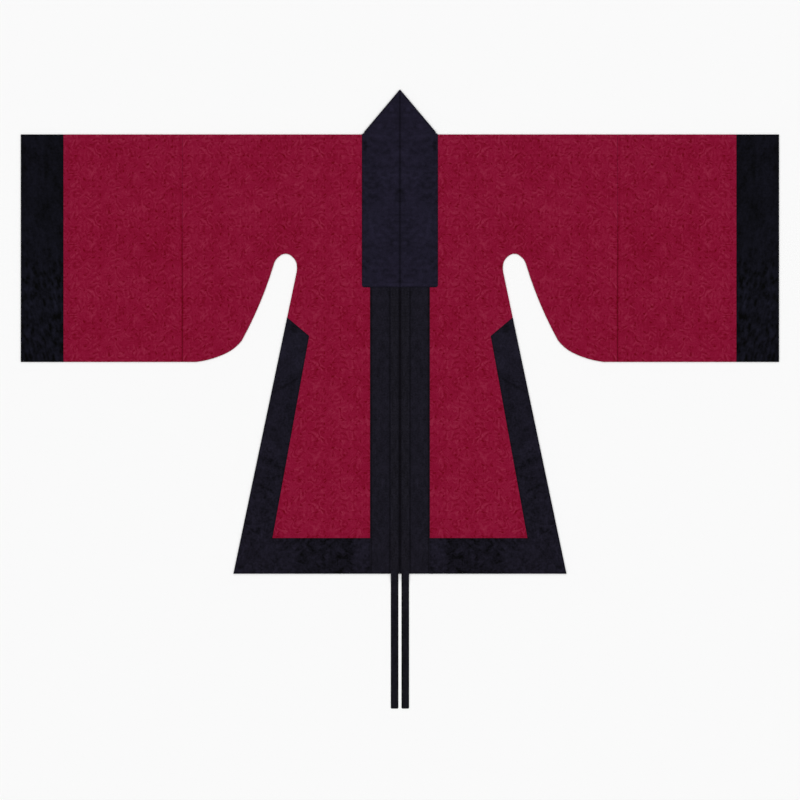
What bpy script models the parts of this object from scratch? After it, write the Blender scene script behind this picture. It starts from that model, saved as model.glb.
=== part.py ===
"""Wide-sleeved, open-fronted robe with dark bands, laid flat on its back.

Metres, +Z up.  +Y points to the collar, +X to the wearer's left.  Every cloth
piece is a wall of one thickness.  The back of the robe lies on the ground, the
front lies on the back, and the collar and the two ties lie on the front.
A piece that wraps round an edge is one wall: front layer, rolled fold, back layer.
"""

import math

import bmesh
import bpy
from mathutils import Vector

# Cloth
CLOTH = 0.0012          # thickness of every cloth wall
GAP = 0.0003            # left between neighbours at a seam and between two layers
OPENING = 0.0004        # between the two front edges, down the middle
FOLD_STEPS = 4          # flats round a rolled fold

# Across, from the middle of the robe
SLEEVE_SEAM = 0.544     # body panel to sleeve
CUFF_SEAM = 0.8415      # sleeve to cuff
CUFF_MOUTH = 0.948
COLLAR_WIDTH = 0.0950
FRONT_BAND = 0.0745
HEM_CORNER = 0.4165
SLIT_BAND_FOOT = 0.3190  # inner edge of the slit band, where it meets the hem band
SLIT_BAND_HEAD = 0.2271  # inner edge of the slit band at its slanted top end
TIE_MIDDLE = 0.0134
TIE_WIDTH = 0.0190

# Down from the shoulder fold
SLEEVE_DEPTH = 0.569
COLLAR_END = 0.3823
SLIT_TOP = 0.4576
SLIT_BAND_TOP = 0.5040   # inner corner of the slit band's slanted end
HEM_SEAM = 1.0095
LENGTH = 1.0985
TIE_END = 1.4360
NECK_DROP = 0.0500       # front neck cut, at the middle
TIE_FALL = 0.0300        # length in which a tie comes down from the hem to the ground
TIE_FALL_FLATS = 8

# Up from the shoulder fold
COLLAR_PEAK = 0.1128
NECK_RISE = 0.0180       # back neck seam, at the middle
FOLD_START = 0.05        # share of the collar's slant that stays open beside the shoulder

SHOULDER = (TIE_END - COLLAR_PEAK) / 2   # centres the robe with its ties on the origin

# Each row is one arc of the underarm edge, from the body's side to the sleeve's underside.
UNDERARM_ARCS = [
    # start (across, down), through (across, down), end (across, down), flats
    ((0.2585, 0.3450), (0.2575, 0.3364), (0.2583, 0.3239), 3),
    ((0.2583, 0.3239), (0.2622, 0.3139), (0.2698, 0.3054), 4),
    ((0.2698, 0.3054), (0.2861, 0.2985), (0.3023, 0.3054), 8),
    ((0.3023, 0.3054), (0.3106, 0.3140), (0.3151, 0.3239), 4),
    ((0.3151, 0.3239), (0.3518, 0.4255), (0.3955, 0.5155), 6),
    ((0.3955, 0.5155), (0.4093, 0.5303), (0.4311, 0.5454), 4),
    ((0.4311, 0.5454), (0.4676, 0.5601), (0.5098, SLEEVE_DEPTH), 6),
]
NECK_FLATS = 6

# Heights of the middle of each cloth layer
BACK = CLOTH / 2
FRONT = BACK + CLOTH + GAP
TOP = FRONT + CLOTH + GAP

# Finishes: base colour, roughness, metallic
CRIMSON = ("crimson_brocade", (0.222, 0.0065, 0.031, 1.0), 0.55, 0.0)
NAVY = ("navy_band", (0.0103, 0.0096, 0.0152, 1.0), 0.75, 0.0)


def spot(across, down):
    """A point of the robe from its distances across from the middle and down from the shoulder."""
    return Vector((across, SHOULDER - down))


def arc(start, through, end, flats):
    """Points along the circle through three points, without the last one."""
    a, b, c = spot(*start), spot(*through), spot(*end)
    twice = 2 * (a - c).cross(b - c)
    from_a, from_b = (a - c).length_squared, (b - c).length_squared
    centre = c + Vector((
        (from_a * (b - c).y - from_b * (a - c).y) / twice,
        (from_b * (a - c).x - from_a * (b - c).x) / twice,
    ))
    radius = (a - centre).length
    first = math.atan2(*(a - centre).yx)
    sweep = math.atan2((a - centre).cross(c - centre), (a - centre).dot(c - centre))
    if (b - centre).dot((a + c) / 2 - centre) < 0:
        sweep -= math.copysign(2 * math.pi, sweep)
    angles = [first + sweep * step / flats for step in range(flats)]
    return [centre + radius * Vector((math.cos(t), math.sin(t))) for t in angles]


def underarm():
    """The sewn-up edge from the sleeve seam, round the armpit, down to the top of the side slit."""
    points = [spot(SLEEVE_SEAM, SLEEVE_DEPTH)]
    for start, through, end, flats in reversed(UNDERARM_ARCS):
        points += arc(end, through, start, flats)
    points.append(spot(*UNDERARM_ARCS[0][0]))
    return points


def side_at(down):
    """A point on the straight side edge between the armpit and the hem corner."""
    across, top = UNDERARM_ARCS[0][0]
    share = (down - top) / (LENGTH - top)
    return spot(across + share * (HEM_CORNER - across), down)


def front_neck_at(across):
    """A point on the slanted front neck cut."""
    return spot(across, NECK_DROP * (1 - across / COLLAR_WIDTH))


def back_neck():
    """Points along the arched back neck seam, from the middle to the shoulder."""
    radius = (COLLAR_WIDTH ** 2 + NECK_RISE ** 2) / (2 * NECK_RISE)
    points = []
    for step in range(NECK_FLATS + 1):
        across = COLLAR_WIDTH * step / NECK_FLATS
        rise = math.sqrt(radius ** 2 - across ** 2) - (radius - NECK_RISE)
        points.append(spot(across, -rise))
    return points


def collar_fold_at(share):
    """A point on the collar's slanted fold, from the shoulder (0) to the peak (1)."""
    return spot(COLLAR_WIDTH, 0).lerp(spot(0, -COLLAR_PEAK), share)


def run(points, kind):
    """Outline corners, each with the kind of the edge that starts at it."""
    return [(point, kind) for point in points]


def trimmed(outline, inset):
    """The outline's corners after each edge has moved inwards by the inset of its kind."""
    points = [point for point, _ in outline]
    turning = sum(a.cross(b) for a, b in zip(points, points[1:] + points[:1]))
    normals = []
    for here, there in zip(points, points[1:] + points[:1]):
        along = (there - here).normalized()
        normals.append(Vector((-along.y, along.x)) * math.copysign(1, turning))
    moved = []
    for index, (point, kind) in enumerate(outline):
        before, after = normals[index - 1], normals[index]
        near, far = inset[outline[index - 1][1]], inset[kind]
        bend = before.cross(after)
        if near == far:
            shift = (before + after) * near / (1 + before.dot(after))
        elif abs(bend) < 0.1:        # a fold that runs on as a plain edge ends square
            shift = before * near if near > far else after * far
        else:
            shift = Vector((near * after.y - far * before.y, far * before.x - near * after.x)) / bend
        moved.append(point + shift)
    return moved


def fold_runs(outline):
    """Corner indices along each folded or sewn-up stretch of the outline."""
    runs = []
    for index, (_, kind) in enumerate(outline):
        if kind == "fold":
            if not runs or runs[-1][-1] != index:
                runs.append([index])
            runs[-1].append((index + 1) % len(outline))
    return runs


def finish_material(finish):
    name, colour, roughness, metallic = finish
    material = bpy.data.materials.get(name) or bpy.data.materials.new(name)
    material.use_nodes = True
    shader = material.node_tree.nodes["Principled BSDF"]
    shader.inputs["Base Color"].default_value = colour
    shader.inputs["Roughness"].default_value = roughness
    shader.inputs["Metallic"].default_value = metallic
    material.diffuse_color = colour
    return material


def sewn_object(name, bm, side, finish):
    """Makes the piece's object, on the wearer's left (side 1) or mirrored to the right (side -1)."""
    bmesh.ops.scale(bm, vec=(side, 1, 1), verts=bm.verts)
    bmesh.ops.recalc_face_normals(bm, faces=bm.faces)
    mesh = bpy.data.meshes.new(name)
    bm.to_mesh(mesh)
    bm.free()
    mesh.materials.append(finish_material(finish))
    piece = bpy.data.objects.new(name, mesh)
    bpy.context.scene.collection.objects.link(piece)
    return piece


def give_thickness(piece):
    """Turns a piece made as the middle surface of its cloth into a wall."""
    wall = piece.modifiers.new("cloth", "SOLIDIFY")
    wall.thickness = CLOTH
    wall.offset = 0
    wall.use_even_offset = True


def flat_piece(name, outline, height, side, finish):
    """One layer of cloth with the given outline, its middle at that height."""
    corners = trimmed(outline, {"seam": GAP / 2, "free": 0})
    bm = bmesh.new()
    bm.faces.new([bm.verts.new((x, y, height)) for x, y in corners])
    give_thickness(sewn_object(name, bm, side, finish))


def wrapped_skin(bm, front, back, front_height, swell):
    """One side of a wrapped cloth: the front and back layers and the folds between them.

    swell is the distance from the cloth's middle surface, outwards.  The corners
    are returned in the order in which they are made, the same for every swell.
    """
    radius, middle = (front_height - BACK) / 2, (front_height + BACK) / 2
    made, rings = [], []
    for step in range(FOLD_STEPS + 1):
        turn = math.pi * step / FOLD_STEPS
        outline = front if step <= FOLD_STEPS / 2 else back
        fold_inset = CLOTH / 2 + radius - (radius + swell) * math.sin(turn)
        height = middle + (radius + swell) * math.cos(turn)
        corners = trimmed(outline, {"seam": GAP / 2, "free": 0, "fold": fold_inset})
        is_layer = step in (0, FOLD_STEPS)
        on_fold = {index for stretch in fold_runs(outline) for index in stretch}
        used = [index for index in range(len(outline)) if is_layer or index in on_fold]
        ring = {index: bm.verts.new((*corners[index], height)) for index in used}
        if is_layer:
            bm.faces.new(list(ring.values()))
        made += ring.values()
        rings.append([[ring[index] for index in stretch] for stretch in fold_runs(outline)])
    for upper, lower in zip(rings, rings[1:]):
        for top_run, low_run in zip(upper, lower):
            for step in range(len(top_run) - 1):
                bm.faces.new((top_run[step], top_run[step + 1], low_run[step + 1], low_run[step]))
    return made


def wrapped_piece(name, front, back, front_height, side, finish):
    """A front and a back layer joined by rolled folds along the edges that both outlines call "fold"."""
    bm = bmesh.new()
    outer = wrapped_skin(bm, front, back, front_height, CLOTH / 2)
    rim = [edge.verts[:] for edge in bm.edges if edge.is_boundary]
    inner = wrapped_skin(bm, front, back, front_height, -CLOTH / 2)
    partner = dict(zip(outer, inner))
    for start, end in rim:
        bm.faces.new((start, end, partner[end], partner[start]))
    sewn_object(name, bm, side, finish)


def body_outline(inner_edge):
    """Outer edge of a body panel, from the neck point round to the hem seam, after the given inner corners."""
    return (
        inner_edge
        + run([spot(COLLAR_WIDTH, 0)], "fold")
        + run([spot(SLEEVE_SEAM, 0)], "seam")
        + run(underarm(), "fold")
        + run([side_at(SLIT_TOP), spot(SLIT_BAND_HEAD, SLIT_BAND_TOP), spot(SLIT_BAND_FOOT, HEM_SEAM)], "seam")
    )


def body_panel(name, side):
    """Front and back in one length over the shoulder, with half of the sleeve in the same cloth."""
    front = body_outline(
        run([spot(FRONT_BAND, HEM_SEAM)], "seam") + run([front_neck_at(FRONT_BAND)], "free")
    )
    back = body_outline(run([spot(0, HEM_SEAM)] + back_neck()[:-1], "seam"))
    wrapped_piece(name, front, back, FRONT, side, CRIMSON)


def sleeve_tube(name, inner, outer, outer_kind, side, finish):
    """A flat tube between two lines across the sleeve: folded along its top, sewn up underneath."""
    outline = (
        run([spot(inner, 0)], "fold")
        + run([spot(outer, 0)], outer_kind)
        + run([spot(outer, SLEEVE_DEPTH)], "fold")
        + run([spot(inner, SLEEVE_DEPTH)], "seam")
    )
    wrapped_piece(name, outline, outline, FRONT, side, finish)


def slit_band(name, height, side):
    """Band down one layer of the side slit, slanted at its top and mitred at the hem."""
    outline = (
        run([side_at(SLIT_TOP)], "free")
        + run([spot(HEM_CORNER, LENGTH), spot(SLIT_BAND_FOOT, HEM_SEAM)], "seam")
        + run([spot(SLIT_BAND_HEAD, SLIT_BAND_TOP)], "seam")
    )
    flat_piece(name, outline, height, side, NAVY)


def front_band(name, side):
    """Straight band down the front edge, from the neck to the hem."""
    edge = OPENING / 2
    outline = (
        run([front_neck_at(edge)], "free")
        + run([front_neck_at(FRONT_BAND)], "seam")
        + run([spot(FRONT_BAND, LENGTH), spot(edge, LENGTH)], "free")
    )
    flat_piece(name, outline, FRONT, side, NAVY)


def front_hem(name, side):
    """Hem band of one front, from the front band to the mitre at the hem corner."""
    outline = (
        run([spot(SLIT_BAND_FOOT, HEM_SEAM)], "seam")
        + run([spot(HEM_CORNER, LENGTH)], "free")
        + run([spot(FRONT_BAND, LENGTH), spot(FRONT_BAND, HEM_SEAM)], "seam")
    )
    flat_piece(name, outline, FRONT, side, NAVY)


def back_hem(name):
    """Hem band across the whole back, mitred at both corners."""
    left, right = Vector((1, 1)), Vector((-1, 1))
    outline = (
        run([spot(SLIT_BAND_FOOT, HEM_SEAM) * left], "seam")
        + run([spot(HEM_CORNER, LENGTH) * left], "free")
        + run([spot(HEM_CORNER, LENGTH) * right, spot(SLIT_BAND_FOOT, HEM_SEAM) * right], "seam")
    )
    flat_piece(name, outline, BACK, 1, NAVY)


def collar_half(name, side):
    """Straight strip up one front, folded back along a slant at the peak to run behind the neck."""
    edge = OPENING / 2
    fold = run([collar_fold_at(FOLD_START)], "fold")
    front_peak = collar_fold_at(1 - edge / COLLAR_WIDTH)
    front = (
        run([spot(COLLAR_WIDTH, 0)], "free")
        + fold
        + run([front_peak, spot(edge, COLLAR_END), spot(COLLAR_WIDTH, COLLAR_END)], "free")
    )
    back = fold + run([collar_fold_at(1), *back_neck()[:-1]], "seam")
    wrapped_piece(name, front, back, TOP, side, NAVY)


def tie(name, side):
    """Flat ribbon from the collar's end over the front band, off the hem and down to the ground."""
    rows = [(COLLAR_END + GAP, TOP)]
    for step in range(TIE_FALL_FLATS + 1):
        share = step / TIE_FALL_FLATS
        drop = share * share * (3 - 2 * share)
        rows.append((LENGTH + 2 * CLOTH + share * TIE_FALL, TOP + drop * (BACK - TOP)))
    rows.append((TIE_END, BACK))
    bm = bmesh.new()
    edges = []
    for down, height in rows:
        ends = [spot(TIE_MIDDLE + half * TIE_WIDTH, down) for half in (-0.5, 0.5)]
        edges.append([bm.verts.new((x, y, height)) for x, y in ends])
    for upper, lower in zip(edges, edges[1:]):
        bm.faces.new((upper[0], upper[1], lower[1], lower[0]))
    give_thickness(sewn_object(name, bm, side, NAVY))


def build():
    for old in list(bpy.data.objects):
        bpy.data.objects.remove(old)
    for label, side in (("left", 1), ("right", -1)):
        body_panel(f"body_{label}", side)
        sleeve_tube(f"sleeve_{label}", SLEEVE_SEAM, CUFF_SEAM, "seam", side, CRIMSON)
        sleeve_tube(f"cuff_{label}", CUFF_SEAM, CUFF_MOUTH, "free", side, NAVY)
        front_band(f"front_band_{label}", side)
        front_hem(f"hem_front_{label}", side)
        slit_band(f"slit_front_{label}", FRONT, side)
        slit_band(f"slit_back_{label}", BACK, side)
        collar_half(f"collar_{label}", side)
        tie(f"tie_{label}", side)
    back_hem("hem_back")


build()
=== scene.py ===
import math

import bmesh
import bpy
from mathutils import Matrix, Vector, kdtree, noise


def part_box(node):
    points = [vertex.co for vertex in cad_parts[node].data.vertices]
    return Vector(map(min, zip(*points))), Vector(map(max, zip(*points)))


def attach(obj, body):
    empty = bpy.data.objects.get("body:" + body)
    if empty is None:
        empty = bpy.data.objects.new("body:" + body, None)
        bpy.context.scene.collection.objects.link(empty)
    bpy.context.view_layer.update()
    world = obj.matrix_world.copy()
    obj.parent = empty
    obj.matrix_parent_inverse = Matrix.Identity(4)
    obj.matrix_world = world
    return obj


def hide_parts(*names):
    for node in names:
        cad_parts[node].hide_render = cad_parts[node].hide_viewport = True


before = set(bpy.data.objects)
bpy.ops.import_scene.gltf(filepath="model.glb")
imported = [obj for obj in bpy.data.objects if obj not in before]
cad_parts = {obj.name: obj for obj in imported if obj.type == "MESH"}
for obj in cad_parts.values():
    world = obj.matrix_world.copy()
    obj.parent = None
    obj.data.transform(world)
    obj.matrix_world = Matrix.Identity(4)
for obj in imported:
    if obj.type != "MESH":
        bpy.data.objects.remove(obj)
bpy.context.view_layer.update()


class Wire:  # a node socket that can stand in a sum
    def __init__(self, finish, socket):
        self.finish = finish
        self.socket = socket

    def __add__(self, other):
        return self.finish.maths("ADD", self, other)

    def __radd__(self, other):
        return self.finish.maths("ADD", other, self)

    def __sub__(self, other):
        return self.finish.maths("SUBTRACT", self, other)

    def __rsub__(self, other):
        return self.finish.maths("SUBTRACT", other, self)

    def __mul__(self, other):
        return self.finish.maths("MULTIPLY", self, other)

    def __rmul__(self, other):
        return self.finish.maths("MULTIPLY", other, self)

    def __truediv__(self, other):
        return self.finish.maths("DIVIDE", self, other)

    def __pow__(self, other):
        return self.finish.maths("POWER", self, other)

    def __abs__(self):
        return self.finish.maths("ABSOLUTE", self)


class Finish:  # a cloth's material while it is made
    def __init__(self, name, fixed):
        self.material = bpy.data.materials.new(name)
        self.material.use_nodes = True
        self.tree = self.material.node_tree
        self.tree.nodes.clear()
        output = self.tree.nodes.new("ShaderNodeOutputMaterial")
        self.shader = self.tree.nodes.new("ShaderNodeBsdfPrincipled")
        self.tree.links.new(self.shader.outputs["BSDF"], output.inputs["Surface"])
        for socket, value in fixed.items():
            self.shader.inputs[socket].default_value = value

    def fill(self, socket, value):
        if isinstance(value, Wire):
            self.tree.links.new(value.socket, socket)
        else:
            socket.default_value = value

    def node(self, kind, settings, inputs, output=0):
        made = self.tree.nodes.new("ShaderNode" + kind)
        for name, value in settings.items():
            setattr(made, name, value)
        for name, value in inputs.items():
            self.fill(made.inputs[name], value)
        return Wire(self, made.outputs[output])

    def maths(self, operation, *terms):
        return self.node("Math", {"operation": operation}, dict(enumerate(terms)))

    def vector(self, operation, *terms):
        return self.node("VectorMath", {"operation": operation}, dict(enumerate(terms)))

    def scaled(self, vector, by):
        return self.node("VectorMath", {"operation": "SCALE"}, {0: vector, "Scale": by})

    def dot(self, first, second):
        return self.node("VectorMath", {"operation": "DOT_PRODUCT"}, {0: first, 1: tuple(second)}, "Value")

    def length(self, vector):
        return self.node("VectorMath", {"operation": "LENGTH"}, {0: vector}, "Value")

    def turned(self, vector, angle):  # about the upright axis
        return self.node("VectorRotate", {"rotation_type": "Z_AXIS"}, {"Vector": vector, "Angle": angle})

    def part(self, vector, axis):
        return self.node("SeparateXYZ", {}, {0: vector}, axis)

    def join(self, x, y, z=0.0):
        return self.node("CombineXYZ", {}, {0: x, 1: y, 2: z})

    def rise(self, value, low, high):  # soft rise from 0 at low to 1 at high
        ends = {"Value": value, "From Min": low, "From Max": high}
        return self.node("MapRange", {"interpolation_type": "SMOOTHSTEP"}, ends)

    def cloud(self, place, scale, detail=2.0):  # noise from about -1 to 1
        made = self.node("TexNoise", {}, {"Vector": place, "Scale": scale, "Detail": detail})
        return (made - 0.5) * 4

    def blend(self, share, first, second):  # a mix takes its colours at 6 and 7 and gives one at 2
        return self.node("Mix", {"data_type": "RGBA"}, {0: share, 6: first, 7: second}, 2)

    def place(self):  # millimetres in the robe's own frame
        return self.scaled(self.node("TexCoord", {}, {}, "Object"), 1000.0)

    def inset(self):  # millimetres in from the piece's own outline
        return self.node("Attribute", {"attribute_name": "inset"}, {}, "Fac")

    def cover(self, color, roughness, height, depth):
        bump = self.node("Bump", {}, {"Strength": 1.0, "Distance": depth, "Height": height})
        self.fill(self.shader.inputs["Base Color"], color)
        self.fill(self.shader.inputs["Roughness"], roughness)
        self.fill(self.shader.inputs["Normal"], bump)
        return self.material


robe = {  # places across from the middle and down from the shoulder fold, as they were sewn
    "mouth": 0.569,  # depth of the sleeve
    "shoulder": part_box("sleeve_left")[1].y,
    "cloth": 0.0012,  # thickness, and the step from one layer to the next
    "layer": 0.0015,
    "upper": 0.00135,  # cloth above this height is the robe's front
    "merge": 0.00001,  # corners closer than this are one
    "flush": 0.4,  # degrees between faces that are one flat
    "cornerSteps": 5,  # edges of a rounded corner
    "near": 0.0006,  # a corner is found when it is this close to its named place
    "level": 0.97,  # how far up a face looks when it is one of the cloth's two sides
    "wall": 0.1,  # and the most that it looks up when it is a cut edge's own wall
    "least": 0.0001,  # flat faces smaller than this, in square metres, get no narrow rows
    "grid": 0.009,  # sides of the small faces
    "gridNear": 0.00002,  # a cut goes through points that are this close
    "steep": 0.9,  # a wall's edge that rises less than this, for its length, is slanted
    "straight": 0.001,  # radians between two faces of one wall
    "slack": 0.55,  # share of the puff in the middle of its unevenness, and how much that share strays
    "slackStray": 0.45,
    "slackScale": 7.0,
    "slackDraw": 3.1,
    "sharp": 60,  # degrees between faces at a cut edge
    "smooth": 50,  # and where the shading turns sharp
    "dip": 0.00035,  # how far a cut edge is pressed down into its seam
    "dipWidth": 0.0016,
    "footShare": 0.6,  # the underside rises into the seam by this much of it
    "between": 0.3,  # a point that looks up less than this is in the middle of a cut edge
    "layerSpread": 30,  # keeps one layer's edges apart from the next one's when distances are taken
    "rim": 0.001,  # points with less than this share of the inside are on the outline
    "deepest": 40.0,  # the most that is written of a point's distance in from the outline, mm
    "lineEnds": 0.01,  # how far past its ends, in shares of it, and beside it a seam's line reaches
    "lineNear": 0.001,
    "creaseEnds": 0.6,  # a crease's width at its ends, for its middle
    "creaseFade": 0.7,  # how bluntly its height starts and ends
}


def spot(across, down):
    return Vector((across, robe["shoulder"] - down, 0.0))


def ease(share):  # soft step from 0 to 1
    held = min(max(share, 0.0), 1.0)
    return held * held * (3 - 2 * held)


def creaseLine(start, end, width, height, bow, shade=0.0):  # metres; how deep the painted shade in it is, 0 to 1
    return {"from": start, "to": end, "width": width, "height": height, "bow": bow, "shade": shade}


slitCreases = (
    creaseLine((0.245, 0.606), (0.315, 0.646), width=0.0048, height=0.0016, bow=0.001, shade=0.46),
    creaseLine((0.286, 0.842), (0.354, 0.808), width=0.011, height=0.0012, bow=0.003, shade=0.32),
    creaseLine((0.308, 0.901), (0.369, 0.871), width=0.0055, height=0.0012, bow=0.003, shade=0.42),
    creaseLine((0.319, 0.916), (0.356, 0.902), width=0.004, height=0.0006, bow=0.002, shade=0.15),
    creaseLine((0.26, 0.672), (0.302, 0.708), width=0.009, height=0.0006, bow=0.004, shade=0.12),
    creaseLine((0.244, 0.53), (0.288, 0.536), width=0.004, height=0.0006, bow=0.002, shade=-0.14),
)
collarCreases = (
    creaseLine((0.092, 0.174), (0.044, 0.158), width=0.0035, height=0.0006, bow=0.003, shade=0.2),
    creaseLine((-0.01, 0.379), (0.105, 0.379), width=0.003, height=0.0005, bow=0.001),
)


def twill(cloth, place, threads, lean):  # fine slanted ribs of a woven cloth, from -1 to 1
    across = cloth.part(place, 0) * lean + cloth.part(place, 1)
    return cloth.maths("SINE", across * (2 * math.pi / threads))


def folded(cloth, place):  # the same cloth on both sides of the centre line
    return cloth.join(abs(cloth.part(place, 0)), cloth.part(place, 1))


def scatter(cloth, place, repeat, kind):  # a motif's own place in each cell of the repeat, turned by chance
    across, down = kind["cells"]
    size = (repeat[0] / across, repeat[1] / down)
    shift = kind["shift"]
    start = (shift[0] + 40 * across, shift[1] + 40 * down, 0.0)  # so that no cell is counted below 0
    grid = cloth.vector("MULTIPLY_ADD", place, (1 / size[0], 1 / size[1], 0.0), start)
    u = cloth.part(grid, 0)
    v = cloth.part(grid, 1) + cloth.maths("FLOOR", u / across) * (down // 2)  # half drop
    key = cloth.join(
        cloth.maths("FLOORED_MODULO", cloth.maths("FLOOR", u), across),
        cloth.maths("FLOORED_MODULO", cloth.maths("FLOOR", v), down),
        kind["draw"],
    )
    chance = cloth.node("TexWhiteNoise", {"noise_dimensions": "3D"}, {"Vector": key}, "Color")
    turn = cloth.part(chance, 0)
    sway = cloth.part(chance, 1)
    luck = cloth.part(chance, 2)
    local = cloth.join(
        (cloth.maths("FRACT", u) - 0.5) * size[0] + (luck - 0.5) * kind["stray"],
        (cloth.maths("FRACT", v) - 0.5) * size[1] + (sway - 0.5) * kind["stray"],
    )
    angle = kind["lean"] + (turn - 0.5) * kind["swing"]
    return cloth.turned(local, angle), sway, luck


def strokes(cloth, place, repeat, kind):  # single leaves, or a few side by side
    local, sway, luck = scatter(cloth, place, repeat, kind)
    lengthwise = cloth.part(local, 0)
    beside = cloth.part(local, 1) + lengthwise * lengthwise * (sway - kind["bias"]) * kind["bend"]
    width = kind["width"]
    rows = 1.0
    if kind["rows"] > 1:
        half = kind["spread"] * 0.5
        rows = cloth.rise(kind["rows"] * half - abs(beside), 0.0, kind["soft"])
        beside = cloth.maths("PINGPONG", beside + half, kind["spread"]) - half
    reach = kind["reach"] * (damask["leastLeaf"] + luck * (1 - damask["leastLeaf"]))
    taper = 1 - (lengthwise / reach) ** 2
    body = cloth.rise(taper * width - abs(beside), 0.0, kind["soft"]) * rows
    body = body * cloth.maths("LESS_THAN", luck, kind["share"])
    slope = cloth.rise(beside, -width, width) * 2 - 1
    return body, body * slope


def curls(cloth, place, repeat, kind):  # scrolls that wind round their own middles
    local, sway, luck = scatter(cloth, place, repeat, kind)
    reach = cloth.length(local)
    angle = cloth.maths("ARCTAN2", cloth.part(local, 1), cloth.part(local, 0))
    hand = cloth.maths("GREATER_THAN", sway, 0.5) * 2 - 1
    wave = cloth.maths("SINE", reach * (2 * math.pi / kind["pitch"]) + angle * hand)
    opened = cloth.rise(cloth.maths("COSINE", angle * 0.5), kind["open"], kind["open"] + damask["openSoft"])
    radius = kind["radius"] * (damask["leastScroll"] + luck * (1 - damask["leastScroll"]))
    body = cloth.rise(radius - reach, 0.0, kind["soft"]) * opened
    body = body * cloth.maths("LESS_THAN", luck, kind["share"])
    return body, body * wave


def woven(cloth, place, repeat, figure):  # a cloudy figure that comes again with each repeat, from -1 to 1
    turn = [cloth.part(place, k) * (2 * math.pi / repeat[k]) for k in (0, 1)]
    reach = [repeat[k] / (2 * math.pi * figure["size"]) for k in (0, 1)]
    corner = cloth.join(
        cloth.maths("COSINE", turn[0]) * reach[0] + figure["draw"],
        cloth.maths("SINE", turn[0]) * reach[0],
        cloth.maths("COSINE", turn[1]) * reach[1],
    )
    last = cloth.maths("SINE", turn[1]) * reach[1]
    values = {"Vector": corner, "W": last, "Scale": 1.0, "Detail": figure["detail"]}
    return (cloth.node("TexNoise", {"noise_dimensions": "4D"}, values) - 0.5) * 2


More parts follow.
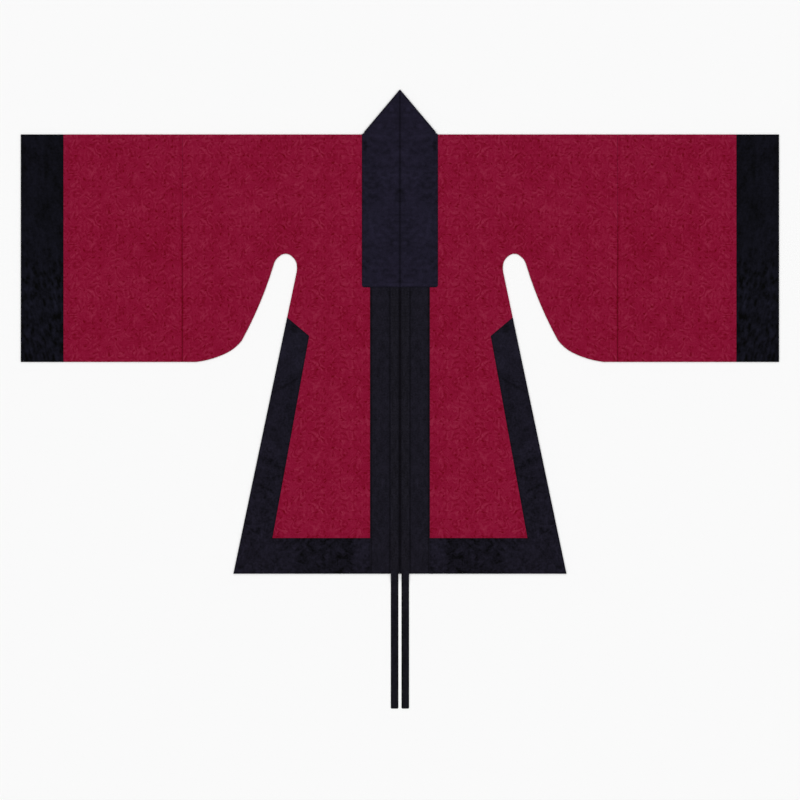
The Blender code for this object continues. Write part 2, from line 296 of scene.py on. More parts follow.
damask = {
    "repeat": (280.0, 178.0),  # across and down, mm
    "motifRepeat": (140.0, 178.0),  # the motifs come twice as often, dropped by half each time
    "light": (0.288, 0.0200, 0.0530),
    "middle": (0.2245, 0.0036, 0.0284),
    "dark": (0.142, 0.0000, 0.0045),
    "tone": 0.499,  # 0 dark, 0.5 middle, 1 light where nothing is woven in
    "scroll": {"size": 40.0, "detail": 1.5, "draw": 0.0},
    "scrollLines": 30.0,  # how many curling lines the scroll figure makes
    "scrollTone": 0.205,
    "scrollWeave": 0.3,  # their share in where the figure is woven in
    "gaps": {"size": 20.0, "detail": 1.0, "draw": 5.0},
    "gapEnds": (-0.2, 0.3),
    "mottle": {"size": 26.0, "detail": 4.0, "draw": 17.0},
    "mottleTone": 0.27,
    "grainTone": 0.125,
    "grainScale": 0.24,
    "broadTone": 0.058,  # slow unevenness of the pressed cloth
    "broadScale": 0.009,
    "seam": 543.9,  # where the cloth is drawn down along the sleeve seam, with its painted shade, mm from the centre
    "seamWidth": 3.6,
    "seamTone": 0.36,
    "seamPull": 0.95,  # its share low down, what the grain adds, and what is lost on the way up
    "seamGrain": 0.35,
    "seamLoss": 0.75,
    "seamFade": (300, 560),  # from here up the seam lies flatter
    "seamDrift": 5.0,  # and the drawn cloth wanders this far out
    "turned": 13.8,  # how far in the turned hem and the pressed fold are caught down
    "turnedWidth": 3.4,
    "turnedTone": 0.07,
    "turnedShare": 0.8,  # how much of it is even, and how much comes with the grain
    "turnedGrain": 0.6,
    "rim": 1.1,  # the painted shade rims on both sides of the caught line, in its widths
    "rimWidth": 0.6,
    "rimDepth": 0.6,
    "sleeved": 440,  # the lower edge is turned up from here out to the cuff
    "threads": 0.9,  # one rib of the twill, mm; it leans the other way in the woven figure
    "lean": 0.5,
    "figured": (0.05, 0.15),  # height of the figure from which the rib turns
    "weaveTone": 0.06,
    "roughness": 0.62,
    "figureGloss": 0.10,
    "grainGloss": 0.02,
    "figureRise": 0.6,  # shares in the fine relief, and its depth in metres
    "weaveRise": 0.12,
    "grainRise": 0.15,
    "depth": 0.00035,
    "leastLeaf": 0.65,  # the shortest leaf for the longest, and the smallest scroll for the largest
    "leastScroll": 0.7,
    "openSoft": 0.25,  # how softly a scroll's open side ends
    "fixed": {"Specular IOR Level": 0.03, "Sheen Weight": 0.02, "Sheen Roughness": 0.4},
    # each of the motif repeat's cells, across and down, holds one motif, or only a share of them do; stray,
    # lean and swing move and turn it, bias and bend curve it, relief is what it adds to the cloth's height
    # and, as painted light on one side and painted shade on the other, to its tone; shade is the tone its
    # own weave adds, and draw sets its chance; its sizes are in mm
    "leaves": (
        {  # single leaves
            "cells": (6, 7), "shift": (0.35, 0.5), "draw": 11.0, "stray": 9.0, "lean": 0.2, "swing": 6.2,
            "bias": 0.5, "bend": 0.070, "rows": 1, "spread": 0.0, "reach": 12.0, "width": 2.9,
            "soft": 0.7, "share": 0.85, "relief": 0.61, "shade": -0.03,
        },
        {  # slanted ribs of a leaf
            "cells": (4, 5), "shift": (0.6, 0.25), "draw": 23.0, "stray": 9.0, "lean": 0.7, "swing": 2.6,
            "bias": 0.5, "bend": 0.050, "rows": 3, "spread": 5.2, "reach": 13.0, "width": 2.5,
            "soft": 0.7, "share": 0.80, "relief": 0.51, "shade": 0.00,
        },
        {  # dark commas
            "cells": (7, 9), "shift": (0.15, 0.8), "draw": 57.0, "stray": 8.0, "lean": 0.9, "swing": 6.2,
            "bias": 0.5, "bend": 0.140, "rows": 1, "spread": 0.0, "reach": 6.5, "width": 2.3,
            "soft": 1.1, "share": 0.60, "relief": 0.10, "shade": -0.34,
        },
        {  # bright threads
            "cells": (8, 7), "shift": (0.55, 0.3), "draw": 71.0, "stray": 8.0, "lean": 1.2, "swing": 3.2,
            "bias": 0.5, "bend": 0.080, "rows": 1, "spread": 0.0, "reach": 8.5, "width": 1.6,
            "soft": 0.6, "share": 0.50, "relief": 0.06, "shade": 0.15,
        },
    ),
    "scrolls": (
        {  # large scrolls
            "cells": (3, 4), "shift": (0.2, 0.1), "draw": 3.0, "stray": 12.0, "lean": 0.0, "swing": 6.2,
            "pitch": 13.0, "open": 0.5, "radius": 24.0, "soft": 9.0, "share": 0.70,
            "relief": 0.22, "shade": -0.01,
        },
        {  # small scrolls
            "cells": (5, 6), "shift": (0.7, 0.6), "draw": 41.0, "stray": 9.0, "lean": 0.0, "swing": 6.2,
            "pitch": 9.0, "open": 0.5, "radius": 14.0, "soft": 6.0, "share": 0.70,
            "relief": 0.22, "shade": -0.01,
        },
    ),
}


def motifs(cloth, flat):  # painted light and shade of their relief with their own tone, and their height
    relief = 0.0
    height = 0.0
    for draw, kinds in ((strokes, damask["leaves"]), (curls, damask["scrolls"])):
        for kind in kinds:
            body, slope = draw(cloth, flat, damask["motifRepeat"], kind)
            # painted light on one side of each motif and painted shade on the other, with the motif's own
            # tone
            relief = slope * (kind["relief"] * 0.5) + body * kind["shade"] + relief
            height = body * kind["relief"] + height
    return relief, height


def scrollFigure(cloth, flat):  # broken curling lines
    gaps = cloth.rise(woven(cloth, flat, damask["repeat"], damask["gaps"]), *damask["gapEnds"])
    scroll = woven(cloth, flat, damask["repeat"], damask["scroll"])
    return cloth.maths("SINE", scroll * damask["scrollLines"]) * gaps


def seamGrooveShade(cloth, flat, grain):  # painted shade where the cloth is drawn down into the sleeve seam
    upward = cloth.rise(cloth.part(flat, 1), *damask["seamFade"])
    beside = cloth.part(flat, 0) - damask["seam"] - upward * damask["seamDrift"]
    drawn = 1 - cloth.rise(abs(beside), 1.0, damask["seamWidth"])
    pull = damask["seamPull"] + grain * damask["seamGrain"] - upward * damask["seamLoss"]
    return drawn * pull * damask["seamTone"]


def turnedEdgeLight(cloth, flat, grain):  # a painted highlight where the turned hem and the pressed fold are caught down
    down = robe["shoulder"] * 1000 - cloth.part(flat, 1)
    caught = 0.0
    for line in (damask["turned"], robe["mouth"] * 1000 - damask["turned"]):
        away = abs(down - line) / damask["turnedWidth"]
        rims = cloth.rise(abs(away - damask["rim"]), damask["rimWidth"], 0.0)
        # painted highlight along the caught line, less the painted shade of its rims
        caught = cloth.rise(away, 1.0, 0.0) - rims * damask["rimDepth"] + caught
    sleeved = cloth.maths("GREATER_THAN", cloth.part(flat, 0), damask["sleeved"])
    atFold = cloth.maths("LESS_THAN", down, damask["turned"] * 2)
    uneven = damask["turnedShare"] + grain * damask["turnedGrain"]
    return caught * cloth.maths("MAXIMUM", sleeved, atFold) * uneven * damask["turnedTone"]


def crimsonDamask():
    cloth = Finish("crimson damask", damask["fixed"])
    place = cloth.place()
    flat = folded(cloth, place)
    relief, height = motifs(cloth, flat)
    scrolls = scrollFigure(cloth, flat)
    lines = scrolls * damask["scrollTone"]
    mottle = woven(cloth, flat, damask["repeat"], damask["mottle"])
    grain = cloth.cloud(flat, damask["grainScale"], 1.0)
    broad = cloth.cloud(flat, damask["broadScale"], 1.0)
    shade = mottle * damask["mottleTone"] + grain * damask["grainTone"] + broad * damask["broadTone"]
    # relief holds the motifs' painted light and shade as well as their own tone
    tone = damask["tone"] + relief + lines + shade - seamGrooveShade(cloth, flat, grain)
    tone = tone + turnedEdgeLight(cloth, flat, grain)
    figured = cloth.rise(height + scrolls * damask["scrollWeave"], *damask["figured"])
    ground = twill(cloth, place, damask["threads"], damask["lean"])
    weave = ground + (twill(cloth, place, damask["threads"], -damask["lean"]) - ground) * figured
    tone = tone + weave * damask["weaveTone"]
    color = cloth.blend(tone * 2, (*damask["dark"], 1), (*damask["middle"], 1))
    color = cloth.blend(tone * 2 - 1, color, (*damask["light"], 1))
    gloss = damask["roughness"] - height * damask["figureGloss"] + grain * damask["grainGloss"]
    rise = height * damask["figureRise"] + lines + weave * damask["weaveRise"] + grain * damask["grainRise"]
    return cloth.cover(color, gloss, rise, damask["depth"])


navy = {
    "fixed": {"Specular IOR Level": 0.05, "Sheen Weight": 0.02, "Sheen Roughness": 0.5},
    "edgeShade": 0.22,  # how dark the painted shade over the last millimetres before a seam is
    "edgeEnds": (0.4, 2.6),
    "broadScale": 0.028,
    "swirlScale": 0.030,  # curling lines of the woven figure, from a slow noise
    "swirlLines": 8.0,
    "swirlGaps": 0.035,
    "gapEnds": (-0.3, 0.5),
    "lineCore": 0.3,  # half of a shaded line's darkest part, mm
    "creaseReach": 1.2,  # a crease's painted shade, in its widths, and how bluntly it starts and ends
    "creaseFade": 0.5,
    "leastTone": 0.05,
    "threads": 0.8,
    "lean": 1.0,
    "weaveTone": 0.12,
    "roughness": 0.86,
    "grainGloss": 0.02,
    "weaveRise": 0.15,  # shares in the fine relief, and its depth in metres
    "grainRise": 0.25,
    "depth": 0.0003,
}


def creaseShade(cloth, place, crease):  # painted shade along the same line as creaseAt, in the cloth's colour
    start = spot(*crease["from"]) * 1000
    run = spot(*crease["to"]) * 1000 - start
    away = cloth.vector("SUBTRACT", place, tuple(start))
    share = cloth.dot(away, run / run.length_squared)
    beside = cloth.dot(away, Vector((run.y, -run.x, 0.0)) / run.length)
    swell = cloth.maths("MAXIMUM", share * (1 - share) * 4, 0.0)
    near = (beside + swell * (crease["bow"] * 1000)) / (crease["width"] * 1000)
    return (1 - cloth.rise(abs(near), 0.0, navy["creaseReach"])) * swell ** navy["creaseFade"]


def navyFigure(cloth, flat, look):  # broad unevenness, and the woven figure with its curling lines
    stretched = cloth.vector("MULTIPLY", cloth.turned(flat, look.get("turn", 0.0)), look["stretch"])
    broad = cloth.cloud(stretched, navy["broadScale"], 2.0)
    figure = cloth.cloud(stretched, look["figureScale"], 1.0)
    swirl = cloth.maths("SINE", cloth.cloud(stretched, navy["swirlScale"], 1.0) * navy["swirlLines"])
    swirl = swirl * cloth.rise(cloth.cloud(flat, navy["swirlGaps"], 1.0), *navy["gapEnds"])
    figure = figure * look["figure"] + swirl * look["swirl"]
    if "fade" in look:  # the woven figure is plainer near the shoulder
        figure = figure * (1 - cloth.rise(cloth.part(flat, 1), *look["fade"]) * look["plain"])
    return broad * look["broad"], figure


def navyShades(cloth, flat, look, tone):  # painted shade and highlight in places, and painted shade at the seams
    # a line whose depth is below 0 is a painted highlight
    for middle, half, depth in look.get("lines", ()):  # painted shade lines along the piece, mm from the centre
        beside = abs(cloth.part(flat, 0) - middle)
        tone = tone * (1 - (1 - cloth.rise(beside, navy["lineCore"], half)) * depth)
    for middle, half, change, soft in look.get("patches", ()):  # places of painted highlight and shade, and of own tone, mm
        away = cloth.vector("SUBTRACT", flat, (*middle, 0))
        away = cloth.length(cloth.vector("DIVIDE", away, (*half, 1.0)))
        tone = tone + (1 - cloth.rise(away, 1 - soft, 1 + soft)) * change
    # painted shade in the creases, a painted highlight where the shade is below 0
    for crease in look.get("creases", ()):
        tone = tone - creaseShade(cloth, flat, crease) * crease["shade"]
    # painted shade over the last millimetres before a seam, fading in from the outline
    edge = 1 - cloth.rise(cloth.inset(), *navy["edgeEnds"])
    return tone * (1 - edge * look.get("edge", navy["edgeShade"]))


def navyCloth(name, ground, look):
    cloth = Finish(name, navy["fixed"])
    place = cloth.place()
    flat = folded(cloth, place)
    broad, figure = navyFigure(cloth, flat, look)
    grain = cloth.cloud(flat, look["grainScale"], 1.0)
    tone = navyShades(cloth, flat, look, 1 + broad + figure + grain * look["grain"])
    ribs = twill(cloth, place, navy["threads"], navy["lean"])
    tone = cloth.maths("MAXIMUM", tone, navy["leastTone"]) * (1 + ribs * navy["weaveTone"])
    rough = navy["roughness"] - grain * navy["grainGloss"]
    rise = ribs * navy["weaveRise"] + grain * navy["grainRise"] + figure
    return cloth.cover(cloth.scaled(ground, tone), rough, rise, navy["depth"])


finishes = {
    "crimson": crimsonDamask(),
    "cuff": navyCloth("navy cuff cloth", (0.0031, 0.0031, 0.0062), {
        "turn": 0.25, "stretch": (1.0, 0.45, 1.0), "figureScale": 0.105, "broad": 0.55, "figure": 1.20,
        "swirl": 0.34, "grain": 0.34, "grainScale": 0.17, "fade": (250, 430), "plain": 0.72,
        # painted highlight on the pressed ridges by the mouth and the seam, painted shade between them and
        # at the mouth's edge
        "lines": (
            (941, 9, 0.13), (922, 13, -0.07), (882, 15, 0.12), (860, 8, -0.12), (849, 5, 0.12),
        ),
        # the dark places at (941, 572) and (884, 587) are painted shade of creases; the rest are lighter or
        # darker places
        "patches": (
            ((941, 572), (8, 16), -0.40, 0.5), ((884, 587), (6, 42), -0.24, 0.5),
            ((858, 585), (5, 60), -0.14, 0.5), ((894, 600), (54, 150), -0.08, 0.3),
            ((926, 452), (12, 60), 0.14, 0.5), ((912, 150), (20, 55), 0.10, 0.5),
        ),
    }),
    "front": navyCloth("navy front band cloth", (0.0082, 0.0073, 0.0129), {
        "stretch": (1.0, 0.5, 1.0), "figureScale": 0.100, "broad": 0.17, "figure": 0.27, "swirl": 0.08,
        "grain": 0.30, "grainScale": 0.24,
        # painted shade beside the seam, painted shadow beside the ties, and painted shade in the gap at the
        # centre
        "lines": ((71.2, 2.8, 0.36), (25.8, 2.8, 0.44), (0.0, 4.0, 0.62)),
    }),
    "border": navyCloth("navy border cloth", (0.0076, 0.0066, 0.0127), {
        "stretch": (1.0, 1.0, 1.0), "figureScale": 0.080, "broad": 0.28, "figure": 0.40, "swirl": 0.30,
        "grain": 0.32, "grainScale": 0.20, "fade": (-420, 60), "plain": 0.55,
        # painted shade in the slit creases
        "creases": slitCreases,
        # the darker stretches of the hem at (188, -393) and (134, -393), and the lighter ones beside and in
        # the middle, are its uneven sheen, painted
        "patches": (
            ((188, -393), (70, 500), -0.34, 0.14), ((134, -393), (18, 500), -0.12, 0.3),
            ((215, -393), (34, 34), 0.06, 0.5), ((0, -393), (110, 60), 0.06, 0.3),
            ((262, 120), (40, 55), 0.24, 0.4), ((380, -400), (60, 40), 0.06, 0.4),
            ((264, 175), (10, 8), -0.45, 0.5), ((330, -120), (20, 16), 0.12, 0.4),
        ),
    }),
    "collar": navyCloth("navy collar cloth", (0.0102, 0.0086, 0.0191), {
        "stretch": (0.8, 1.0, 1.0), "figureScale": 0.080, "broad": 0.20, "figure": 0.30, "swirl": 0.12,
        "grain": 0.14, "grainScale": 0.24,
        # painted shade along the centre join and in the creases
        "lines": ((0.0, 3.0, 0.30),), "creases": collarCreases,
        # a painted highlight along the bottom edge at (0, 286) and painted shadow at the neck corner at (87,
        # 633); the rest are lighter or darker places
        "patches": (
            ((0, 286), (200, 3.4), 0.24, 0.35), ((87, 633), (4.5, 24), -0.40, 0.5),
            ((88, 488), (4, 26), -0.18, 0.5), ((0, 511), (14, 20), -0.12, 0.5),
            ((68, 440), (34, 46), 0.09, 0.4), ((52, 664), (16, 14), 0.12, 0.5),
            ((66, 520), (26, 30), -0.08, 0.5), ((24, 420), (16, 60), -0.03, 0.4),
        ),
    }),
    "tie": navyCloth("navy tie cloth", (0.0082, 0.0075, 0.0121), {
        "stretch": (1.0, 0.3, 1.0), "figureScale": 0.12, "broad": 0.14, "figure": 0.26, "swirl": 0.0,
        "grain": 0.38, "grainScale": 0.24,
        # a little painted shade at the edges, and a painted highlight along the outer edge
        "edge": 0.08, "lines": ((21.6, 2.2, -0.14),),
        # painted shade on the inner rolled edge below the hem at (5, -606); the hanging part at (13, -620)
        # is darker
        "patches": (((13, -620), (60, 185), -0.19, 0.3), ((5, -606), (2.6, 175), -0.5, 0.3)),
    }),
}


threadLook = {
    "fixed": {"Specular IOR Level": 0.08},
    "twist": 0.6,  # mm
    "lean": 1.0,
    "tone": 0.15,
    "roughness": 0.7,
    "gloss": 0.05,
    "depth": 0.0001,
}


def threadFinish(name, color):
    cloth = Finish(name, threadLook["fixed"])
    twist = twill(cloth, cloth.place(), threadLook["twist"], threadLook["lean"])
    shade = cloth.scaled(color, 1 + twist * threadLook["tone"])
    rough = threadLook["roughness"] + twist * threadLook["gloss"]
    return cloth.cover(shade, rough, twist, threadLook["depth"])


finishes["crimson thread"] = threadFinish("crimson thread", (0.050, 0.0012, 0.0080))
finishes["wine thread"] = threadFinish("wine thread", (0.0120, 0.0012, 0.0035))
finishes["navy thread"] = threadFinish("navy thread", (0.0030, 0.0028, 0.0042))
finishes["border thread"] = threadFinish("border thread", (0.0090, 0.0080, 0.0140))
print("cloth finishes made")


def copyOf(node):  # a merged copy of a CAD node's mesh
    bm = bmesh.new()
    bm.from_mesh(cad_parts[node].data)
    bmesh.ops.remove_doubles(bm, verts=bm.verts, dist=robe["merge"])
    bmesh.ops.dissolve_limit(bm, angle_limit=math.radians(robe["flush"]), verts=bm.verts, edges=bm.edges)
    return bm


def roundCorners(bm, corners, radius):  # turns square corners into small arcs
    chosen = []
    for corner in corners:
        place = spot(*corner)
        for edge in bm.edges:
            away = [Vector((abs(v.co.x), v.co.y, 0.0)) - place for v in edge.verts]
            if all(max(abs(gap.x), abs(gap.y)) < robe["near"] for gap in away):
                chosen.append(edge)
    bmesh.ops.bevel(
        bm, geom=chosen, offset=radius, segments=robe["cornerSteps"], profile=0.5, affect="EDGES",
        material=-1,
    )


def ring(bm, widths, plainBelow):  # rows of narrow faces inside each flat face's outline
    inside = bm.verts.layers.float.new("inside")
    faces = [f for f in bm.faces if abs(f.normal.z) > robe["level"] and f.calc_area() > robe["least"]]
    upper = [f for f in faces if f.calc_center_median().z > plainBelow]
    for k, width in enumerate(widths):
        bmesh.ops.inset_region(
            bm, faces=upper if k else faces, thickness=width, use_even_offset=True, use_boundary=True,
        )
    for face in faces:
        for vert in face.verts:
            vert[inside] = 1.0


def cutGrid(bm, step):
    low = Vector(min(v.co[k] for v in bm.verts) for k in range(3))
    high = Vector(max(v.co[k] for v in bm.verts) for k in range(3))
    for axis in (0, 1):
        count = math.ceil((high[axis] - low[axis]) / step)
        across = Vector((1.0 - axis, axis, 0.0))
        for k in range(1, count):
            everything = bm.verts[:] + bm.edges[:] + bm.faces[:]
            cut = low.lerp(high, k / count)
            bmesh.ops.bisect_plane(bm, geom=everything, dist=robe["gridNear"], plane_co=cut, plane_no=across)
    slanted = []  # a flat wall's own slanted edges are of no use after the cuts
    for edge in bm.edges:
        run = edge.verts[0].co - edge.verts[1].co
        onWall = all(abs(face.normal.z) < robe["wall"] for face in edge.link_faces)
        inFlat = edge.is_manifold and edge.calc_face_angle() < robe["straight"]
        if onWall and inFlat and abs(run.z) < robe["steep"] * run.length:
            slanted.append(edge)
    bmesh.ops.dissolve_edges(bm, edges=slanted, use_verts=True)


def along(place, line):  # share of the way from a line's start, and distance beside it
    start = spot(*line["from"])
    run = spot(*line["to"]) - start
    here = place - start
    return here.dot(run) / run.length_squared, here.cross(run).z / run.length


def creaseAt(place, crease):
    share, beside = along(place, crease)
    if not 0.0 < share < 1.0:
        return 0.0
    beside += crease["bow"] * 4 * share * (1 - share)
    swell = math.sin(math.pi * share)
    width = crease["width"] * (robe["creaseEnds"] + (1 - robe["creaseEnds"]) * swell)
    return crease["height"] * math.exp(-((beside / width) ** 2)) * swell ** robe["creaseFade"]


def onLine(place, lines):
    for line in lines:
        share, beside = along(place, line)
        if -robe["lineEnds"] < share < 1 + robe["lineEnds"] and abs(beside) < robe["lineNear"]:
            return True
    return False


def treeOf(points):
    tree = kdtree.KDTree(len(points))
    for k, point in enumerate(points):
        tree.insert(point, k)
    tree.balance()
    return tree


def layered(co):  # the same place with its height spread out
    return Vector((co.x, co.y, co.z * robe["layerSpread"]))


def puffAt(co, place, cut):  # height of the unevenness and the creases where nothing holds them down
    scale = robe["slackScale"]
    stray = noise.noise(Vector((co.x * scale, co.y * scale, robe["slackDraw"])))
    height = cut["puff"] * (robe["slack"] + robe["slackStray"] * stray)
    for crease in cut["creases"]:
        height += creaseAt(place, crease)
    return max(height, 0.0)


def fadeAt(place, away, cut):  # the share of that height that is left, so near an edge
    fade = ease(away / cut["reach"])
    for box in cut.get("pressed", ()):  # flat where another piece lies on it
        low = spot(0, box["down"]).y
        gap = max(place.x - box["half"], low - place.y, 0.0)
        fade *= ease(gap / box["soft"])
    return fade


def press(bm, cut):  # gives the flat cloth its unevenness, creases and pressed seams
    inside = bm.verts.layers.float["inside"]
    inset = bm.verts.layers.float.new("inset")
    rim = [v for v in bm.verts if v[inside] < robe["rim"]]
    places = {v: Vector((abs(v.co.x), v.co.y, 0.0)) for v in bm.verts}
    shown = [v for v in rim if not onLine(places[v], cut.get("quiet", ()))]
    held = [v for v in rim if not onLine(places[v], cut.get("free", ()))]
    sharp = math.radians(robe["sharp"])
    sharpEnds = {v for e in bm.edges if e.is_manifold and e.calc_face_angle() > sharp for v in e.verts}
    shownTree = treeOf([layered(v.co) for v in shown])
    heldTree = treeOf([layered(v.co) for v in held])
    dipTree = treeOf([layered(v.co) for v in shown if v in sharpEnds])
    rises = {}
    for vert in bm.verts:
        place = places[vert]
        here = layered(vert.co)
        vert[inset] = min(shownTree.find(here)[2] * 1000, robe["deepest"])
        height = puffAt(vert.co, place, cut) * fadeAt(place, heldTree.find(here)[2], cut)
        share = 1.0 if vert.co.z > robe["upper"] else cut["back"]
        dip = robe["dip"] * (1 - ease(dipTree.find(here)[2] / robe["dipWidth"]))
        up = 1.0 if vert.normal.z > 0 else 0.0
        if abs(vert.normal.z) < robe["between"]:  # its share of the way up the cut edge
            up = min(vert.co.z % robe["layer"] / robe["cloth"], 1.0)
        rises[vert] = height * share - dip * (up - (1 - up) * robe["footShare"])
    for vert, rise in rises.items():
        vert.co.z += rise


def finishPiece(bm, name, finish):
    mesh = bpy.data.meshes.new(name)
    bm.to_mesh(mesh)
    bm.free()
    mesh.shade_smooth()
    mesh.set_sharp_from_angle(angle=math.radians(robe["smooth"]))
    mesh.materials.append(finishes[finish])
    piece = bpy.data.objects.new(name, mesh)
    bpy.context.scene.collection.objects.link(piece)
    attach(piece, "root")
    return piece


edgeLines = {  # seams and free edges, across and down
    "mitre": {"from": (0.3190, 1.0095), "to": (0.4165, 1.0985)},
    "bandToHem": {"from": (0.0745, 1.0095), "to": (0.0745, 1.0985)},
    "cuffMouth": {"from": (0.9480, 0.0), "to": (0.9480, 0.569)},
    "hemEnd": {"from": (0.0, 1.0985), "to": (0.4165, 1.0985)},
}
# flat is across and down as cut; the puff comes up within reach of the edges, and back is its share
# on the lower layer; rings are narrow rows inside the edges; the puff runs on to a free edge, and a
# quiet one is neither pressed down nor given painted edge shade
robeBody = {
    "finish": "crimson", "slot": "crimson_brocade",
    "flat": (0.544, 2.037), "area": 0.736, "rests": "floor",
    "puff": 0.0006, "reach": 0.030, "back": 0.25, "rings": (0.0007, 0.0012, 0.0040),
    "pressed": ({"half": 0.095, "down": 0.3823, "soft": 0.03},),
    "creases": (
        creaseLine((0.3, 0.32), (0.19, 0.14), width=0.016, height=0.0006, bow=0.012),
        creaseLine((0.33, 0.3), (0.42, 0.06), width=0.02, height=0.0005, bow=-0.015),
        creaseLine((0.255, 0.36), (0.14, 0.51), width=0.018, height=0.0005, bow=0.01),
        creaseLine((0.12, 0.56), (0.17, 0.99), width=0.022, height=0.0004, bow=0.015),
        creaseLine((0.23, 0.64), (0.26, 0.94), width=0.018, height=0.0005, bow=-0.01),
    ),
}
sleeve = {
    "finish": "crimson", "slot": "crimson_brocade",
    "flat": (0.298, 1.138), "area": None, "rests": "floor",
    "puff": 0.0006, "reach": 0.030, "back": 0.25, "rings": (0.0007, 0.0012, 0.0040),
    "creases": (
        creaseLine((0.56, 0.06), (0.82, 0.12), width=0.02, height=0.0004, bow=0.01),
        creaseLine((0.58, 0.46), (0.76, 0.33), width=0.018, height=0.0005, bow=-0.012),
        creaseLine((0.64, 0.55), (0.7, 0.4), width=0.015, height=0.0004, bow=0.008),
    ),
}
cuff = {
    "finish": "cuff", "slot": "navy_band",
    "flat": (0.1065, 1.138), "area": None, "rests": "floor",
    "puff": 0.0006, "reach": 0.018, "back": 0.2, "rings": (0.0007, 0.0012, 0.0040),
    "free": (edgeLines["cuffMouth"],),
    "creases": (
        creaseLine((0.87, 0.53), (0.885, 0.37), width=0.008, height=0.0007, bow=0.004),
        creaseLine((0.905, 0.55), (0.925, 0.42), width=0.007, height=0.0006, bow=-0.004),
        creaseLine((0.915, 0.33), (0.9, 0.14), width=0.009, height=0.0006, bow=0.003),
        creaseLine((0.862, 0.24), (0.87, 0.04), width=0.008, height=0.0005, bow=0.003),
    ),
}
frontBand = {
    "finish": "front", "slot": "navy_band",
    "flat": (0.074, 1.088), "area": None, "rests": "body",
    "puff": 0.0003, "reach": 0.012, "back": 0.0, "rings": (0.0007, 0.0012, 0.0030),
    "pressed": ({"half": 0.0235, "down": 2.0, "soft": 0.012},), "quiet": (edgeLines["bandToHem"],),
    "creases": (),
}
hemFront = {
    "finish": "border", "slot": "navy_band",
    "flat": (0.342, 0.089), "area": 0.0264, "rests": "hem_back",
    "puff": 0.0006, "reach": 0.018, "back": 0.0, "rings": (0.0007, 0.0012, 0.0040),
    "free": (edgeLines["hemEnd"],), "quiet": (edgeLines["mitre"], edgeLines["bandToHem"]),
    "creases": (
        creaseLine((0.15, 1.025), (0.21, 1.085), width=0.01, height=0.0006, bow=0.004),
        creaseLine((0.26, 1.02), (0.29, 1.09), width=0.009, height=0.0005, bow=-0.003),
    ),
}
hemBack = {
    "finish": "border", "slot": "navy_band",
    "flat": (0.833, 0.089), "area": 0.066, "rests": "floor",
    "puff": 0.0002, "reach": 0.018, "back": 1.0, "rings": (0.0007, 0.0012, 0.0040),
    "quiet": (edgeLines["mitre"],), "creases": (),
}
slitFront = {
    "finish": "border", "slot": "navy_band",
    "flat": (0.0785, 0.65), "area": 0.042, "rests": "slit_back",
    "puff": 0.0006, "reach": 0.018, "back": 0.0, "rings": (0.0007, 0.0012, 0.0040),
    "quiet": (edgeLines["mitre"],),
    "creases": slitCreases,
}
slitBack = {
    "finish": "border", "slot": "navy_band",
    "flat": (0.0785, 0.65), "area": 0.042, "rests": "floor",
    "puff": 0.0002, "reach": 0.018, "back": 1.0, "rings": (0.0007, 0.0012, 0.0040),
    "quiet": (edgeLines["mitre"],), "creases": (),
}
collar = {
    "finish": "collar", "slot": "navy_collar",
    "flat": (0.095, 0.49), "area": 0.0465, "rests": "body",
    "puff": 0.0004, "reach": 0.012, "back": 0.0, "rings": (0.0007, 0.0012, 0.0030),
    "corners": ((0.0954, 0.3823),), "cornerRadius": 0.006,
    "plainBelow": 0.002,  # the part folded behind the neck has one narrow row only
    "creases": collarCreases,
}
tie = {
    "finish": "tie", "slot": "navy_tie",
    "flat": (0.019, 1.054), "area": None, "rests": "front_band",
    "puff": 0.0002, "reach": 0.005, "back": 0.5, "rings": (0.0007, 0.0012),
    "corners": ((0.0039, 1.4360), (0.0229, 1.4360)), "cornerRadius": 0.003,
    "creases": (),
}


def makeCloth(node, cut, side=""):
    bm = copyOf(node)
    if "corners" in cut:
        roundCorners(bm, cut["corners"], cut["cornerRadius"])
    ring(bm, cut["rings"], cut.get("plainBelow", -1.0))
    cutGrid(bm, robe["grid"])
    bm.normal_update()
    press(bm, cut)
    piece = finishPiece(bm, node + "_cloth", cut["finish"])
    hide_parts(node)
    below = cut["rests"] + side if cut["rests"] in cuts else cut["rests"]
    print(f"{piece.name}: {len(piece.data.polygons)} faces")


cuts = {
    "body": robeBody, "sleeve": sleeve, "cuff": cuff, "front_band": frontBand, "hem_front": hemFront,
    "slit_front": slitFront, "slit_back": slitBack, "collar": collar, "tie": tie,
}
for kind, cut in cuts.items():
    for side in ("_left", "_right"):
        makeCloth(kind + side, cut, side)
makeCloth("hem_back", hemBack)
print("cloth pieces made")


stitch = {"pitch": 0.0030, "length": 0.0046, "depth": 0.0009}  # metres
upperSeam = 0.00215  # heights of the thread in the front layer, in the back layer and between them
lowerSeam = 0.00055
foldSeam = 0.00135
bandHem = (0.0745, 1.0095)  # where seams meet or end, across and down
slitFoot = (0.319, 1.0095)
slitBend = (0.2271, 0.504)
slitTop = (0.2818, 0.4583)


def inBothLayers(start, end):
    return (start, end, upperSeam), (start, end, lowerSeam)


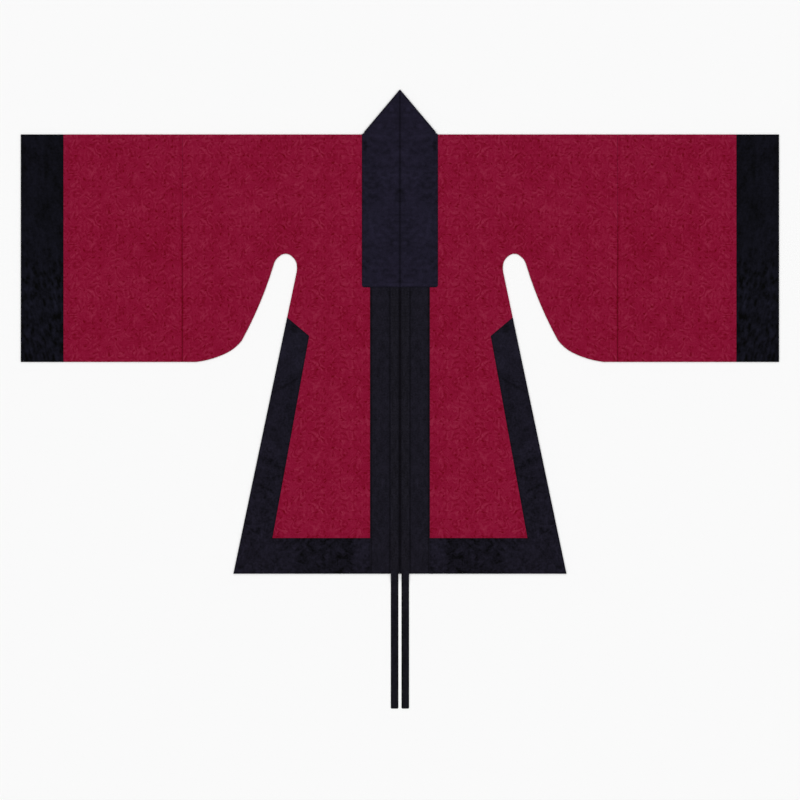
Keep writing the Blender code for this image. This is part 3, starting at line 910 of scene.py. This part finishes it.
threads = {
    "seam_thread_crimson": {
        "finish": "crimson thread", "slot": "crimson_brocade", "width": 0.0009,
        "runs": inBothLayers((0.544, 0.001), (0.544, 0.568)),
    },
    "seam_thread_back": {
        "finish": "wine thread", "slot": "crimson_brocade", "width": 0.0014,
        "runs": (((0.0, -0.0175), (0.0, 1.009), lowerSeam), ((0.0, -0.016), (0.0, 1.008), foldSeam)),
    },
    "seam_thread_navy": {
        "finish": "navy thread", "slot": "navy_band", "width": 0.0009,
        "runs": (
            *inBothLayers((0.8415, 0.001), (0.8415, 0.568)),
            ((0.0745, 0.012), (0.0745, 1.0090), upperSeam),
            (bandHem, slitFoot, upperSeam),
            ((0.0, 1.0095), slitFoot, lowerSeam),
            *inBothLayers(slitFoot, slitBend),
            *inBothLayers(slitBend, slitTop),
        ),
    },
    "seam_thread_border": {  # joins of like cloth, hardly seen
        "finish": "border thread", "slot": "navy_band", "width": 0.0011,
        "runs": (
            *inBothLayers((0.3192, 1.0097), (0.4156, 1.0977)),
            ((0.0745, 1.0100), (0.0745, 1.0976), upperSeam),
        ),
    },
    "seam_thread_collar": {
        "finish": "navy thread", "slot": "navy_collar", "width": 0.0014,
        "runs": (((0.0, -0.1105), (0.0, -0.018), lowerSeam),),
    },
}


def sew(bm, start, end, height, width):  # a chain of small stitches
    run = end - start
    count = math.ceil(run.length / stitch["pitch"])
    turn = Matrix.Rotation(math.atan2(run.y, run.x), 4, "Z")
    size = Matrix.Diagonal((stitch["length"] / 2, width / 2, stitch["depth"] / 2, 1.0))
    for k in range(count):
        middle = start.lerp(end, (k + 0.5) / count) + Vector((0, 0, height))
        place = Matrix.Translation(middle) @ turn @ size
        bmesh.ops.create_icosphere(bm, subdivisions=1, radius=1.0, matrix=place)


def makeThread(name, thread):
    bm = bmesh.new()
    for start, end, height in thread["runs"]:
        paired = start[0] > 0 or end[0] > 0
        for side in (1, -1) if paired else (1,):
            first = spot(start[0] * side, start[1])
            last = spot(end[0] * side, end[1])
            sew(bm, first, last, height, thread["width"])
    piece = finishPiece(bm, name, thread["finish"])
    print(f"{name}: {len(piece.data.polygons)} faces")


for name, thread in threads.items():
    makeThread(name, thread)
print("seams sewn")


studio = {
    "floor": 0.95,
    "floorRough": 0.9,
    "floorSize": 60.0,
    "world": 0.41,
    "suns": (  # turn round the robe, height above the floor in degrees, strength, softness in degrees
        (0, 48, 1.08, 35),
        (100, 42, 0.62, 35),
        (260, 42, 0.62, 35),
        (180, 45, 0.34, 40),
    ),
    "lens": 85.0,
    "sensor": 36.0,
    "farthest": 200,
    "view": 2.0,  # metres across the robe's plane that the camera takes in
    "aim": (0.000175, robe["shoulder"] - 0.664125, 0.0027),  # right below the camera
}


def makeFloor():
    bm = bmesh.new()
    bmesh.ops.create_grid(bm, x_segments=1, y_segments=1, size=studio["floorSize"] / 2)
    mesh = bpy.data.meshes.new("floor")
    bm.to_mesh(mesh)
    bm.free()
    floor = bpy.data.objects.new("floor", mesh)
    bpy.context.scene.collection.objects.link(floor)
    paper = Finish("pale floor", {"Roughness": studio["floorRough"], "Specular IOR Level": 0.0})
    paper.fill(paper.shader.inputs["Base Color"], (studio["floor"],) * 3 + (1,))
    mesh.materials.append(paper.material)


def makeLights():
    world = bpy.data.worlds.new("studio")
    world.use_nodes = True
    world.node_tree.nodes["Background"].inputs["Color"].default_value = (1, 1, 1, 1)
    world.node_tree.nodes["Background"].inputs["Strength"].default_value = studio["world"]
    bpy.context.scene.world = world
    for turn, height, strength, soft in studio["suns"]:
        light = bpy.data.lights.new(f"sun {turn}", "SUN")
        light.energy = strength
        light.angle = math.radians(soft)
        lamp = bpy.data.objects.new(light.name, light)
        lamp.rotation_euler = (math.radians(height - 90), 0, math.radians(turn))
        bpy.context.scene.collection.objects.link(lamp)


def makeCamera():
    data = bpy.data.cameras.new("camera")
    data.lens = studio["lens"]
    data.sensor_width = studio["sensor"]
    data.clip_end = studio["farthest"]
    camera = bpy.data.objects.new("camera", data)
    away = studio["view"] * studio["lens"] / studio["sensor"]
    camera.location = Vector(studio["aim"]) + Vector((0, 0, away))
    bpy.context.scene.collection.objects.link(camera)
    bpy.context.scene.camera = camera
    bpy.context.scene.view_settings.view_transform = "Standard"


makeFloor()
makeLights()
makeCamera()
print("floor, lights and camera made")
